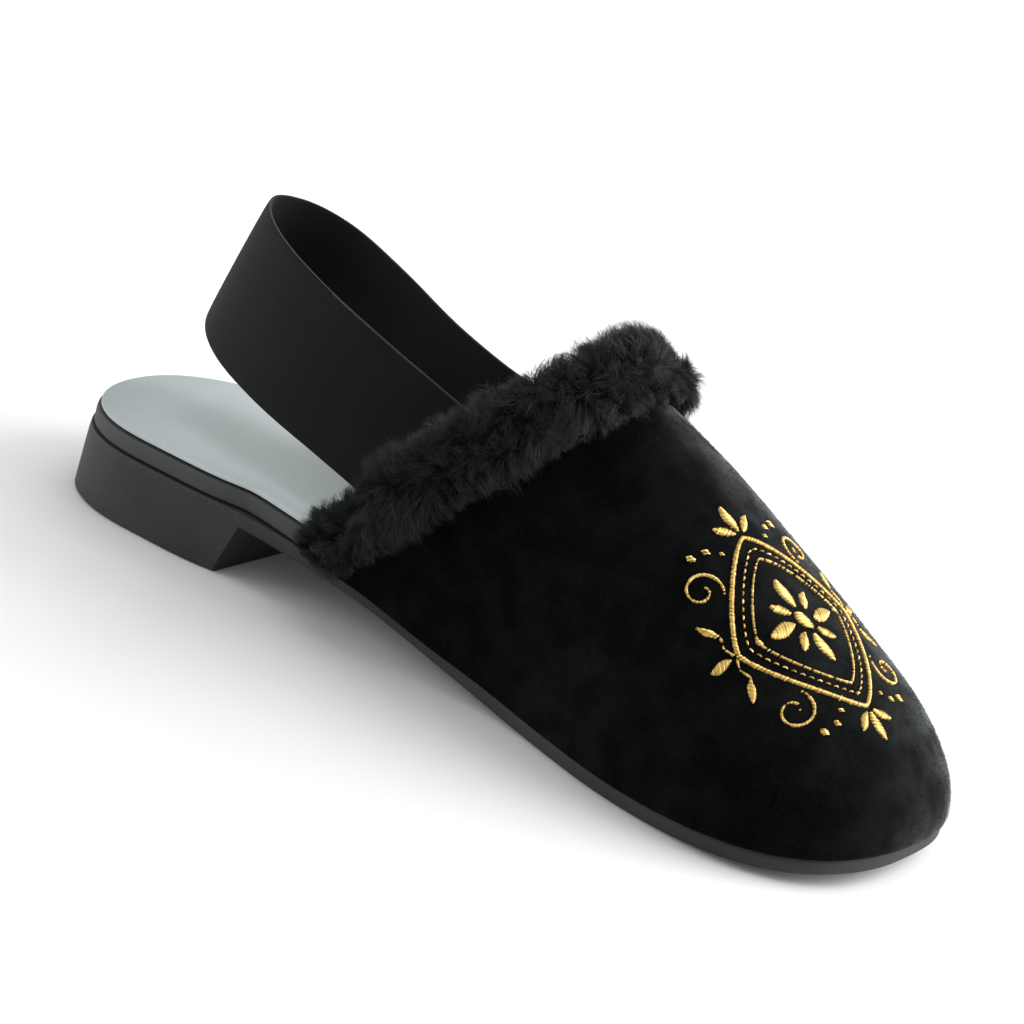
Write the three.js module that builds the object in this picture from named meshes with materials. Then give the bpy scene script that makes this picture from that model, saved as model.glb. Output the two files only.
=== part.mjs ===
// A slingback mule slipper for the left foot: velvet upper, fur cuff, elastic heel strap, low-heeled sole.
// Millimetres, +X to the toe, +Y to the lateral side, +Z up. Every piece is worked out with x measured
// from the back of the heel, and the finished group is moved so that its origin is the middle of the
// footprint on the floor.
import * as THREE from "three";

// Driving dimensions
const LENGTH = 244; // outsole, heel to toe
const HEEL_ROUND = 31; // how far the round end of the heel reaches forward
const HEEL_POWER = 2.15; // 2 is an ellipse, more is squarer
const TOE_ROUND = 50;
const TOE_POWER = 2.6;
const TOE_RISE_ROUND = 27; // how far back the toe box rounds down, seen from the side
const TOE_RISE_POWER = 2.3;
const TOE_SWING = 3.5; // the toe points this far to the medial side
const TOE_SWING_START = 134;
const SOLE_THICKNESS = 3.7;
const SOLE_BEVEL = 0.7;
const HEEL_BREAST = 61; // front of the moulded heel
const BREAST_SLOPE = 5; // the breast leans over this length
const HEEL_FLARE = 1; // the heel's foot stands out past the seat
const FLARE_FADE = 8; // and comes back to it over this length before the breast
const FOOTBED_THICKNESS = 4.6;
const FOOTBED_EDGE = 1; // its rounded edge
const FOOTBED_LIP = 0.8; // outsole showing round the bare footbed
const BARE_TO = 56; // behind this x the footbed is bare
const COVERED_FROM = 66; // and in front of this one it lies inside the upper
const SOCK_THICKNESS = 1.3;
const SOCK_EDGE = 0.5;
const SOCK_LIP = 0.9; // footbed edge showing round the sock
const UPPER_WALL = 2.4; // velvet, stiffener and lining together
const UPPER_OVERHANG = 0.6; // upper past the sole's edge
const WAIST_TUCK = 2; // upper past the sole's edge at the medial waist
const WAIST = { starts: 62, full: 84, fades: 118, ends: 150 }; // where that bulge lies
const CREST_SHIFT = 4; // the ridge of the vamp lies this far to the medial side
const TOPLINE_SLOPE = 1.1; // the topline is cut by a plane that rises this steeply to the toe
const TOPLINE = 72.5; // and meets the floor at this x
const TOPLINE_BACK = 40; // no part of the topline lies behind this x
const CUFF_FRONT = 85.5; // the fur's front seam lies on the same plane moved forward to this x
const STRAP_END_WIDTH = 32;
const STRAP_THICKNESS = 1.6;
const STRAP_SLOPE = 0.254; // the strap climbs this much for each millimetre towards the heel
const STRAP_TILT = 0.34; // its upper edge lies this much further forward, for each millimetre of width
const STRAP_BACK_HEIGHT = 65.6; // middle of the strap behind the heel
const STRAP_BACK_X = 26.5;
const STRAP_ANCHOR_X = 125; // middle of the sewn ends, inside the vamp
const GAP = 0.3; // clearance between pieces that touch
const FUR_GAP = 0.4;
const STRAP_GAP = 0.7;
const BED_GAP = 0.55; // footbed to the inside of the upper

// Half widths of the outsole on either side of the long axis, before the ends are rounded
const OUTLINE = [
  { x: 0, medial: 30.5, lateral: 30.5 },
  { x: 48, medial: 31, lateral: 31.5 },
  { x: 100, medial: 27.5, lateral: 34.5 },
  { x: 150, medial: 30.8, lateral: 40.5 },
  { x: 186, medial: 38.3, lateral: 43 },
  { x: 216, medial: 40, lateral: 40 },
  { x: LENGTH, medial: 41, lateral: 36 },
];

// Heights along the shoe: top of the outsole, ridge of the vamp, and how square its cross section is
const PROFILE = [
  { x: 0, seat: 17.2, ridge: 88, square: 2.0 },
  { x: 58, seat: 17.2, ridge: 86, square: 2.0 },
  { x: 100, seat: 13, ridge: 83, square: 1.95 },
  { x: 135, seat: 7, ridge: 80, square: 1.9 },
  { x: 162, seat: SOLE_THICKNESS, ridge: 70.5, square: 1.95 },
  { x: 190, seat: SOLE_THICKNESS, ridge: 55, square: 2.05 },
  { x: 222, seat: 5.2, ridge: 36.5, square: 2.2 },
  { x: LENGTH, seat: 8, ridge: 26.5, square: 2.3 },
];

// Fur cuff cross section: run forward of the topline as a share of the cuff, or back of it in
// millimetres, and rise off the velvet, or off the lining in the rows marked inside. Rows with a
// lock carry tufts.
const PILE = [
  { share: 0.33, back: 0, rise: FUR_GAP, lock: 0 },
  { share: 0.66, back: 0, rise: FUR_GAP, lock: 0 },
  { share: 1, back: 0, rise: FUR_GAP, lock: 0 },
  { share: 1.06, back: 0, rise: 3, lock: 0.7 },
  { share: 0.96, back: 0, rise: 6.2, lock: 1 },
  { share: 0.73, back: 0, rise: 8.7, lock: 1 },
  { share: 0.45, back: 0, rise: 10.5, lock: 1 },
  { share: 0.15, back: 0, rise: 11.4, lock: 1 },
  { share: 0, back: 2.8, rise: 11.2, lock: 1 },
  { share: 0, back: 6, rise: 9.6, lock: 1 },
  { share: 0, back: 8.4, rise: 6.2, lock: 1 },
  { share: 0, back: 9, rise: 2.4, lock: 0.8 },
  { share: 0, back: 7.4, rise: -0.8, lock: 0.5 },
  { share: 0, back: 4, rise: 0.2, lock: 0, inside: true },
  { share: 0, back: FUR_GAP, rise: 0.2, lock: 0, inside: true },
  { share: 0, back: FUR_GAP, rise: FUR_GAP, lock: 0 },
];
const CUFF_FOOT = 0.6; // the cuff thins to this share where it meets the sole
const CUFF_FOOT_REACH = 0.45; // up to this share of the arch's height
const LOCK_EVERY = 4; // rings from one tuft to the next, staggered from row to row
const LOCK_LEAST = 0.6; // the smallest tuft as a share of the largest
const DOWN = 0.25; // how uneven the pile is between tufts, as a share of a tuft
const LOCK_RISE = 2.6; // how far a tuft stands out of the pile
const LOCK_LAY = 1.6; // how far its tip is brushed along the cuff

// Plan of the strap's middle line between its two sewn ends, medial side first, how far its upper
// edge leans in over its lower one, and its width
const STRAP_PLAN = [
  { x: 106, y: -19.6, lean: 6, width: 33 },
  { x: 84, y: -19, lean: 3.5, width: 34 },
  { x: 62, y: -18, lean: 2.5, width: 35.5 },
  { x: 43, y: -13.5, lean: 1.5, width: 36.4 },
  { x: 31.5, y: -6, lean: 0.5, width: 36.6 },
  { x: STRAP_BACK_X, y: 2.5, lean: 0, width: 36.6 },
  { x: 30.5, y: 11, lean: -0.5, width: 36.6 },
  { x: 41, y: 16.5, lean: -2, width: 36.4 },
  { x: 60, y: 17, lean: -4.5, width: 35.5 },
  { x: 82, y: 16, lean: -8, width: 34 },
  { x: 105, y: 18.5, lean: -9, width: 33 },
];

// Mesh fineness
const SOLE_STEPS = 44;
const UPPER_STEPS = 38;
const ARCH_STEPS = 30;
const CUFF_STEPS = 76;
const STRAP_STEPS = 56;
const STATION_ROOM = 1.2; // least distance of a sole station from the heel breast
const HALVINGS = 40; // steps of a search by halving
const ANGLE_STEP = 0.025; // for slopes on the arch

// Smooth curve through one column of a table, with no overshoot between its rows
function column(rows, key) {
  const rise = rows.slice(1).map((row, i) => (row[key] - rows[i][key]) / (row.x - rows[i].x));
  const slopes = rows.map((row, i) => {
    const before = rise[i - 1] ?? rise[i];
    const after = rise[i] ?? rise[i - 1];
    return before * after <= 0 ? 0 : (2 * before * after) / (before + after);
  });
  return (x) => {
    const i = Math.max(0, Math.min(rows.length - 2, rows.findLastIndex((row) => row.x <= x)));
    const span = rows[i + 1].x - rows[i].x;
    const t = Math.max(0, Math.min(1, (x - rows[i].x) / span));
    const u = 1 - t;
    const start = rows[i][key] * (1 + 2 * t) + slopes[i] * span * t;
    const end = rows[i + 1][key] * (3 - 2 * t) - slopes[i + 1] * span * u;
    return start * u * u + end * t * t;
  };
}
const medialHalf = column(OUTLINE, "medial");
const lateralHalf = column(OUTLINE, "lateral");
const seatHeight = column(PROFILE, "seat");
const ridgeHeight = column(PROFILE, "ridge");
const sectionPower = column(PROFILE, "square");

// Falls from 1 to 0 over the last stretch of an end, along a superellipse
function roundOff(distance, reach, power) {
  const t = Math.max(0, Math.min(1, distance / reach));
  return Math.pow(1 - Math.pow(t, power), 1 / power);
}

const smooth = (from, to, x) => THREE.MathUtils.smoothstep(x, from, to);

// The long axis, which swings to the medial side towards the toe
const axisY = (x) => -TOE_SWING * smooth(TOE_SWING_START, LENGTH, x);

// Half width of the plan on one side (1 lateral, -1 medial), drawn in by inset all round
function planHalf(x, side, inset) {
  const half = (side > 0 ? lateralHalf(x) : medialHalf(x)) - inset;
  const heel = roundOff(HEEL_ROUND - x, HEEL_ROUND - inset, HEEL_POWER);
  const toe = roundOff(x - (LENGTH - TOE_ROUND), TOE_ROUND - inset, TOE_POWER);
  return half * heel * toe;
}

// The upper bulges past the sole at the medial waist
function waistTuck(x, side) {
  const swells = smooth(WAIST.starts, WAIST.full, x);
  const shrinks = smooth(WAIST.fades, WAIST.ends, x);
  return side < 0 ? WAIST_TUCK * swells * (1 - shrinks) : 0;
}

// Height of the floor side of the outsole: heel, arched waist, flat ball and toe spring
function soleUnderside(x) {
  const forward = smooth(HEEL_BREAST, HEEL_BREAST + BREAST_SLOPE, x);
  return Math.max(0, seatHeight(x) - SOLE_THICKNESS) * forward;
}

// Collects vertices and quads into one mesh geometry
class Skin {
  constructor() {
    this.points = [];
    this.faces = [];
  }
  point(p) {
    this.points.push(p.x, p.y, p.z);
    return this.points.length / 3 - 1;
  }
  triangle(a, b, c) {
    if (a !== b && b !== c && c !== a) this.faces.push(a, b, c);
  }
  quad(a, b, c, d) {
    this.triangle(a, b, c);
    this.triangle(a, c, d);
  }
  geometry() {
    const made = new THREE.BufferGeometry();
    made.setAttribute("position", new THREE.Float32BufferAttribute(this.points, 3));
    made.setIndex(this.faces);
    return made;
  }
}

// Stations along the sole, close together at the round ends and at the heel breast
function soleStations() {
  const stations = [];
  for (let i = 0; i <= SOLE_STEPS; i++) stations.push((1 - Math.cos((Math.PI * i) / SOLE_STEPS)) / 2);
  const breast = [HEEL_BREAST, HEEL_BREAST + BREAST_SLOPE / 2, HEEL_BREAST + BREAST_SLOPE];
  const clear = stations.filter((t) => breast.every((x) => Math.abs(t * LENGTH - x) > STATION_ROOM));
  return [...clear, ...breast.map((x) => x / LENGTH)].sort((a, b) => a - b);
}

// A slab with the plan of the shoe: one closed loop per layer, from the floor side up.
// Each layer gives its inset and its height at x.
function slab(layers) {
  const skin = new Skin();
  const stations = soleStations();
  const last = stations.length - 1;
  const rings = layers.map(({ inset, height, tuck }) => {
    const ring = { lateral: [], medial: [] };
    stations.forEach((t, i) => {
      const shrink = inset(t * LENGTH);
      const x = shrink + t * (LENGTH - 2 * shrink);
      const place = (side) => {
        const half = planHalf(x, side, shrink) + (tuck ? waistTuck(x, side) : 0);
        return new THREE.Vector3(x, axisY(x) + side * half, height(x));
      };
      ring.lateral.push(skin.point(place(1)));
      ring.medial.push(i === 0 || i === last ? ring.lateral[i] : skin.point(place(-1)));
    });
    return ring;
  });
  for (let i = 0; i < last; i++) {
    for (let k = 0; k + 1 < rings.length; k++) {
      const low = rings[k];
      const high = rings[k + 1];
      skin.quad(low.lateral[i + 1], low.lateral[i], high.lateral[i], high.lateral[i + 1]);
      skin.quad(low.medial[i], low.medial[i + 1], high.medial[i + 1], high.medial[i]);
    }
    const floor = rings[0];
    const top = rings[rings.length - 1];
    skin.quad(floor.lateral[i], floor.lateral[i + 1], floor.medial[i + 1], floor.medial[i]);
    skin.quad(top.medial[i], top.medial[i + 1], top.lateral[i + 1], top.lateral[i]);
  }
  return skin.geometry();
}

// Moulded outsole with its low heel, arched waist and toe spring
function outsole() {
  const flare = (x) => -HEEL_FLARE * (1 - smooth(HEEL_BREAST - FLARE_FADE, HEEL_BREAST, x));
  const even = (inset) => () => inset;
  return slab([
    { inset: (x) => flare(x) + SOLE_BEVEL, height: soleUnderside },
    { inset: flare, height: (x) => soleUnderside(x) + SOLE_BEVEL },
    { inset: even(0), height: (x) => seatHeight(x) - SOLE_BEVEL },
    { inset: even(SOLE_BEVEL / 2), height: seatHeight },
  ]);
}

// How far the footbed is drawn in: bare behind the upper, inside its wall further forward
const bedInset = (x) =>
  THREE.MathUtils.lerp(
    FOOTBED_LIP,
    UPPER_WALL - UPPER_OVERHANG + BED_GAP,
    smooth(BARE_TO, COVERED_FROM, x),
  );
const bedFloor = (x) => seatHeight(x) + GAP;
const bedTop = (x) => bedFloor(x) + FOOTBED_THICKNESS;

function footbed() {
  return slab([
    { inset: (x) => bedInset(x) + FOOTBED_EDGE / 2, height: bedFloor, tuck: true },
    { inset: bedInset, height: (x) => bedFloor(x) + FOOTBED_EDGE / 2, tuck: true },
    { inset: bedInset, height: (x) => bedTop(x) - FOOTBED_EDGE, tuck: true },
    { inset: (x) => bedInset(x) + FOOTBED_EDGE / 3, height: (x) => bedTop(x) - FOOTBED_EDGE / 3, tuck: true },
    { inset: (x) => bedInset(x) + FOOTBED_EDGE, height: bedTop, tuck: true },
  ]);
}

// Grey sock glued to the footbed
function insole() {
  const sockInset = (x) => bedInset(x) + SOCK_LIP;
  const floor = (x) => bedTop(x) + GAP;
  return slab([
    { inset: sockInset, height: floor, tuck: true },
    { inset: sockInset, height: (x) => floor(x) + SOCK_THICKNESS - SOCK_EDGE, tuck: true },
    { inset: (x) => sockInset(x) + SOCK_EDGE, height: (x) => floor(x) + SOCK_THICKNESS, tuck: true },
  ]);
}

// Point of the upper's surface at x and arch angle (0 lateral edge, PI medial edge), drawn in by inset
function lastPoint(x, angle, inset) {
  const tip = LENGTH - inset;
  const side = Math.cos(angle) >= 0 ? 1 : -1;
  const power = 2 / sectionPower(x);
  const base = seatHeight(x) + GAP;
  const fall = roundOff(x - (LENGTH - TOE_RISE_ROUND), tip - (LENGTH - TOE_RISE_ROUND), TOE_RISE_POWER);
  const height = (ridgeHeight(x) - inset - base) * fall;
  const half = planHalf(x, side, inset) + waistTuck(x, side);
  const lean = -CREST_SHIFT * (half / lateralHalf(x));
  const across = Math.pow(Math.abs(Math.cos(angle)), power);
  const up = Math.pow(Math.sin(angle), power);
  return new THREE.Vector3(x, axisY(x) + lean + side * (half - side * lean) * across, base + height * up);
}

// Where the line of one arch angle meets the topline's plane, moved to cut the floor at floorX
function cutX(angle, floorX, inset) {
  let low = TOPLINE_BACK;
  let high = LENGTH - TOE_RISE_ROUND;
  for (let i = 0; i < HALVINGS; i++) {
    const middle = (low + high) / 2;
    if (lastPoint(middle, angle, inset).z > TOPLINE_SLOPE * (middle - floorX)) low = middle;
    else high = middle;
  }
  return (low + high) / 2;
}

const archAngle = (j, steps) => (Math.PI * j) / steps;

// Lasted upper: an outer and an inner skin, joined at the topline and along the feather edge
function upper() {
  const skin = new Skin();
  const sheet = (inset) => {
    const tip = skin.point(lastPoint(LENGTH - inset, Math.PI / 2, inset));
    const rows = [];
    for (let i = 0; i < UPPER_STEPS; i++) {
      const row = [];
      for (let j = 0; j <= ARCH_STEPS; j++) {
        const angle = archAngle(j, ARCH_STEPS);
        const start = cutX(angle, TOPLINE, inset);
        const x = start + (LENGTH - inset - start) * Math.sin((Math.PI / 2) * (i / UPPER_STEPS));
        row.push(skin.point(lastPoint(x, angle, inset)));
      }
      rows.push(row);
    }
    rows.push(Array(ARCH_STEPS + 1).fill(tip));
    return rows;
  };
  const outer = sheet(-UPPER_OVERHANG);
  const inner = sheet(UPPER_WALL - UPPER_OVERHANG);
  for (let i = 0; i < UPPER_STEPS; i++) {
    for (let j = 0; j < ARCH_STEPS; j++) {
      skin.quad(outer[i][j + 1], outer[i + 1][j + 1], outer[i + 1][j], outer[i][j]);
      skin.quad(inner[i][j], inner[i + 1][j], inner[i + 1][j + 1], inner[i][j + 1]);
    }
    const edge = ARCH_STEPS;
    skin.quad(outer[i][0], outer[i + 1][0], inner[i + 1][0], inner[i][0]);
    skin.quad(inner[i][edge], inner[i + 1][edge], outer[i + 1][edge], outer[i][edge]);
  }
  for (let j = 0; j < ARCH_STEPS; j++) {
    skin.quad(inner[0][j + 1], outer[0][j + 1], outer[0][j], inner[0][j]);
  }
  return skin.geometry();
}

// Outward normal of the upper's outer face
function lastNormal(x, angle) {
  const a = THREE.MathUtils.clamp(angle, 2 * ANGLE_STEP, Math.PI - 2 * ANGLE_STEP);
  const along = lastPoint(x + 1, a, -UPPER_OVERHANG).sub(lastPoint(x - 1, a, -UPPER_OVERHANG));
  const after = lastPoint(x, a + ANGLE_STEP, -UPPER_OVERHANG);
  const around = after.sub(lastPoint(x, a - ANGLE_STEP, -UPPER_OVERHANG));
  return around.cross(along).normalize();
}

// A repeatable number from 0 to 1 for each pair of whole numbers
function scatter(i, k) {
  const mixed = Math.sin(i * 12.9898 + k * 78.233) * 43758.5453;
  return THREE.MathUtils.euclideanModulo(mixed, 1);
}

// Fur cuff: the pile's section carried round the topline, with tufts raised in staggered rows
function furCuff() {
  const skin = new Skin();
  const rings = [];
  for (let j = 0; j <= CUFF_STEPS; j++) {
    const angle = archAngle(j, CUFF_STEPS);
    const rim = lastPoint(cutX(angle, TOPLINE, -UPPER_OVERHANG), angle, -UPPER_OVERHANG);
    const nudge = (to) => {
      const other = THREE.MathUtils.clamp(to, 0, Math.PI);
      return lastPoint(cutX(other, TOPLINE, -UPPER_OVERHANG), other, -UPPER_OVERHANG);
    };
    const swell = THREE.MathUtils.lerp(CUFF_FOOT, 1, smooth(0, CUFF_FOOT_REACH, Math.sin(angle)));
    const along = nudge(angle + ANGLE_STEP).sub(nudge(angle - ANGLE_STEP)).normalize();
    const backward = along.clone().cross(lastNormal(rim.x, angle)).normalize();
    rings.push(
      PILE.map(({ share, back, rise, lock, inside }, k) => {
        const inset = inside ? UPPER_WALL - UPPER_OVERHANG : -UPPER_OVERHANG;
        const x = cutX(angle, THREE.MathUtils.lerp(TOPLINE, CUFF_FRONT, share), inset);
        const normal = lastNormal(x, angle);
        const place = lastPoint(x, angle, inset);
        const peak = (j + (k % 2) * (LOCK_EVERY / 2)) % LOCK_EVERY === 0;
        const tall = THREE.MathUtils.lerp(LOCK_LEAST, 1, scatter(j, k));
        const tuft = lock * (peak ? tall : DOWN * scatter(k, j));
        const full = rise > FUR_GAP || back > FUR_GAP ? swell : 1;
        const outward = new THREE.Vector3().addScaledVector(normal, rise * full);
        outward.addScaledVector(backward, back * full);
        const away = outward.clone().normalize();
        place.add(outward).addScaledVector(away, LOCK_RISE * tuft);
        place.addScaledVector(along, LOCK_LAY * tuft * (scatter(j + 7, k) - 0.5));
        return skin.point(place);
      }),
    );
  }
  const count = PILE.length;
  for (let j = 0; j < CUFF_STEPS; j++) {
    for (let k = 0; k < count; k++) {
      const next = (k + 1) % count;
      skin.quad(rings[j][k], rings[j][next], rings[j + 1][next], rings[j + 1][k]);
    }
  }
  const width = CUFF_FRONT - TOPLINE;
  const flat = PILE.map(({ share, back, rise }) => new THREE.Vector2(share * width - back, rise));
  const first = rings[0];
  const end = rings[CUFF_STEPS];
  for (const [a, b, c] of THREE.ShapeUtils.triangulateShape(flat, [])) {
    const turn = THREE.ShapeUtils.isClockWise([flat[a], flat[b], flat[c]]);
    const [p, q] = turn ? [b, c] : [c, b];
    skin.triangle(first[a], first[p], first[q]);
    skin.triangle(end[a], end[q], end[p]);
  }
  return skin.geometry();
}

// The strap's lower or upper edge where it is sewn to the inside of the vamp
function strapAnchor(side, edge) {
  const x = STRAP_ANCHOR_X + edge * (STRAP_END_WIDTH / 2) * STRAP_TILT;
  const middle = STRAP_BACK_HEIGHT - STRAP_SLOPE * (STRAP_ANCHOR_X - STRAP_BACK_X);
  const z = middle + edge * (STRAP_END_WIDTH / 2);
  const inset = UPPER_WALL - UPPER_OVERHANG + STRAP_GAP + STRAP_THICKNESS / 2;
  let low = 0;
  let high = Math.PI / 2;
  for (let i = 0; i < HALVINGS; i++) {
    const angle = (low + high) / 2;
    if (lastPoint(x, side > 0 ? angle : Math.PI - angle, inset).z < z) low = angle;
    else high = angle;
  }
  return lastPoint(x, side > 0 ? low : Math.PI - low, inset);
}

// One long edge of the strap as a smooth curve, edge -1 below and 1 above
function strapEdge(edge) {
  const middle = STRAP_PLAN.map(({ x, y, lean, width }) => {
    const z = STRAP_BACK_HEIGHT - STRAP_SLOPE * (x - STRAP_BACK_X);
    const across = new THREE.Vector3(STRAP_TILT, lean / width, 1).setLength(width / 2);
    return new THREE.Vector3(x, y, z).addScaledVector(across, edge);
  });
  const along = [strapAnchor(-1, edge), ...middle, strapAnchor(1, edge)];
  return new THREE.CatmullRomCurve3(along, false, "centripetal");
}

// Elastic heel strap: a flat band between its two edge curves, with its corners eased
function heelStrap() {
  const skin = new Skin();
  const low = strapEdge(-1);
  const high = strapEdge(1);
  const half = STRAP_THICKNESS / 2;
  const ease = half / STRAP_END_WIDTH;
  const section = [
    { across: ease, depth: half },
    { across: 0, depth: half / 3 },
    { across: 0, depth: -half / 3 },
    { across: ease, depth: -half },
    { across: 1 - ease, depth: -half },
    { across: 1, depth: -half / 3 },
    { across: 1, depth: half / 3 },
    { across: 1 - ease, depth: half },
  ];
  const rings = [];
  for (let i = 0; i <= STRAP_STEPS; i++) {
    const t = i / STRAP_STEPS;
    const foot = low.getPoint(t);
    const head = high.getPoint(t);
    const along = low.getTangent(t).add(high.getTangent(t)).normalize();
    const out = along.cross(head.clone().sub(foot)).normalize();
    rings.push(
      section.map(({ across, depth }) =>
        skin.point(foot.clone().lerp(head, across).addScaledVector(out, depth)),
      ),
    );
  }
  const count = section.length;
  for (let i = 0; i < STRAP_STEPS; i++) {
    for (let k = 0; k < count; k++) {
      const next = (k + 1) % count;
      skin.quad(rings[i][k], rings[i][next], rings[i + 1][next], rings[i + 1][k]);
    }
  }
  const first = rings[0];
  const end = rings[STRAP_STEPS];
  for (let k = 1; k + 1 < count; k++) {
    skin.triangle(first[0], first[k + 1], first[k]);
    skin.triangle(end[0], end[k], end[k + 1]);
  }
  return skin.geometry();
}

function piece(name, geometry, color, roughness) {
  const material = new THREE.MeshStandardMaterial({ color, roughness, metalness: 0 });
  geometry.computeVertexNormals();
  const mesh = new THREE.Mesh(geometry, material);
  mesh.name = name;
  return mesh;
}

const shoe = new THREE.Group();
shoe.add(
  piece("outsole", outsole(), 0x3b3d3d, 0.6),
  piece("footbed", footbed(), 0x141515, 0.85),
  piece("insole", insole(), 0xa3adad, 0.55),
  piece("upper", upper(), 0x0b0c0d, 0.9),
  piece("fur_cuff", furCuff(), 0x1d1e1e, 0.95),
  piece("heel_strap", heelStrap(), 0x1b1c1c, 0.85),
);
const footprint = new THREE.Box3().setFromObject(shoe).getCenter(new THREE.Vector3());
shoe.position.set(-footprint.x, -footprint.y, 0);

export default shoe;
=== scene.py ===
# %% [markdown]
# # A slingback slipper with a fur cuff
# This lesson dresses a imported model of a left-foot slipper. The solids already have their true size and
# place, so every piece below starts from them and only gains a finish, a softer surface, or small things
# such as hairs and stitches. Blender works in metres, and MM turns millimetres into them.

# %% Load the solids
import math

import bpy
import numpy as np
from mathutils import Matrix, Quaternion, Vector
from mathutils.bvhtree import BVHTree
from mathutils.kdtree import KDTree


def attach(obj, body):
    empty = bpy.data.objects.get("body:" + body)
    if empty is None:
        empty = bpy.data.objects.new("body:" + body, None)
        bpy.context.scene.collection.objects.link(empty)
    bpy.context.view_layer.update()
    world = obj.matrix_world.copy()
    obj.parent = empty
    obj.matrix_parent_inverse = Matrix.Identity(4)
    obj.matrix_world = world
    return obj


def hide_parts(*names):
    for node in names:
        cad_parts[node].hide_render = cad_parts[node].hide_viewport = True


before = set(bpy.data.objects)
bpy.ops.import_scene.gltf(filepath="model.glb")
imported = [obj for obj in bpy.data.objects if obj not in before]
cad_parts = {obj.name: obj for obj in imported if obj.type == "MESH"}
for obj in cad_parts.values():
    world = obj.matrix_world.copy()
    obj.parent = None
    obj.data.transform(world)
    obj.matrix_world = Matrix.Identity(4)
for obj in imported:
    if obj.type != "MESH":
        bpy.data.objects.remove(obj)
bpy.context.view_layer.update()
scene = bpy.context.scene
MM = 0.001
print("solids:", sorted(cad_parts))

# %% [markdown]
# ## Where things are on a shoe
# A shoemaker measures along the sole from the back of the heel, so this lesson does too. The heel's
# foot flares a little past that point. shoe_point turns such sizes into a place in the model.

# %% Measure from the heel
HEEL_FLARE = 1.0 * MM
sole_points = np.array([v.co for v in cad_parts["outsole"].data.vertices])
heel_back = sole_points[sole_points[:, 0].argmin()]


def shoe_point(along, across, up):
    """A place given in millimetres forward of the heel, to the lateral side and above the floor."""
    return Vector((heel_back[0] + HEEL_FLARE + along * MM, heel_back[1] + across * MM, up * MM))


print("heel back at", [round(float(c), 4) for c in heel_back])

# %% [markdown]
# ## The camera
# The shoe is seen from the front of its medial side and from a little above, and the picture is rolled.
# A long lens far away keeps the sole's lines nearly parallel. The camera is placed in shoe sizes,
# turned to look at the middle of the shoe, and rolled about its own line of sight.

# %% Place the camera
EYE = shoe_point(489.5, -599.0, 290.6)
AIM = shoe_point(122.0, -2.0, 36.0)
ROLL = math.radians(13.8)
LENS_MM = 112.0
SENSOR_MM = 36.0
SIGHT_LIMIT = 20.0  # metres

bpy.ops.object.camera_add(location=EYE)
camera = bpy.context.object
camera.name = "camera"
sight = (AIM - EYE).to_track_quat("-Z", "Y") @ Quaternion((0, 0, 1), ROLL)
camera.rotation_euler = sight.to_euler()
camera.data.lens = LENS_MM
camera.data.sensor_width = SENSOR_MM
camera.data.clip_end = SIGHT_LIMIT
scene.camera = camera
print("camera looks from", [round(c, 3) for c in EYE])

# %% [markdown]
# ## Floor and light
# The shoe stands on a white sweep in a bright white room, as in a catalogue picture. A wide soft box
# overhead gives most of the light, and the room fills in. Black velvet shows its form only by its sheen: a
# soft box behind the toe draws a pale rim along the vamp, another behind the heel lights the back of the
# strap, and a weak one before the arch opens the fur's shadows. The floor glows, like a lit sweep, but less
# under the shoe, so that a soft shadow is left there.

# %% Floor and soft boxes
FLOOR_SIZE = 8.0  # metres
bpy.ops.mesh.primitive_plane_add(size=FLOOR_SIZE, location=(0, 0, 0))
floor = bpy.context.object
floor.name = "floor"


def soft_box(name, place, target, size_m, watts):
    """A square area lamp at a place in shoe sizes, aimed at another such place."""
    bpy.ops.object.light_add(type="AREA", location=shoe_point(*place))
    lamp = bpy.context.object
    lamp.name = name
    lamp.data.size = size_m
    lamp.data.energy = watts
    lamp.rotation_euler = (shoe_point(*target) - lamp.location).to_track_quat("-Z", "Y").to_euler()


soft_box("lid_over_shoe", place=(170, 320, 680), target=(120, 0, 30), size_m=1.3, watts=6.8)
soft_box("key_behind_heel", place=(-480, -300, 200), target=(40, 0, 50), size_m=0.5, watts=2.4)
soft_box("rim_behind_toe", place=(600, 260, 330), target=(215, 0, 30), size_m=0.5, watts=6.5)
soft_box("fill_before_arch", place=(80, -520, 380), target=(130, 0, 40), size_m=0.6, watts=0.5)

scene.view_settings.view_transform = "Standard"

# %% [markdown]
# ## Building materials from nodes
# Every finish here is a Principled shader with a few texture nodes in front of it. Two effects are used
# by several materials, so each is a node group: pebble makes the fine grain of rubber and leather, and
# nap makes the fibres and brushed patches of cloth. Both read Object coordinates, so a pattern
# stays on the shoe wherever the camera goes.

# %% Helpers for materials
def new_finish(name, **sockets):
    """A material with its Principled shader, whose plain sockets are set by name."""
    finish = bpy.data.materials.new(name)
    finish.use_nodes = True
    shader = finish.node_tree.nodes["Principled BSDF"]
    for socket, value in sockets.items():
        shader.inputs[socket.replace("_", " ")].default_value = value
    return finish, finish.node_tree, shader


def add_node(tree, kind, **settings):
    """A new node with its settings."""
    node = tree.nodes.new(kind)
    for key, value in settings.items():
        setattr(node, key, value)
    return node


def noise(tree, vector, scale, detail=2.0):
    """A noise mask with so many cells a metre."""
    node = add_node(tree, "ShaderNodeTexNoise")
    node.inputs["Scale"].default_value = scale
    node.inputs["Detail"].default_value = detail
    tree.links.new(vector, node.inputs["Vector"])
    return node.outputs["Fac"]


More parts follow.
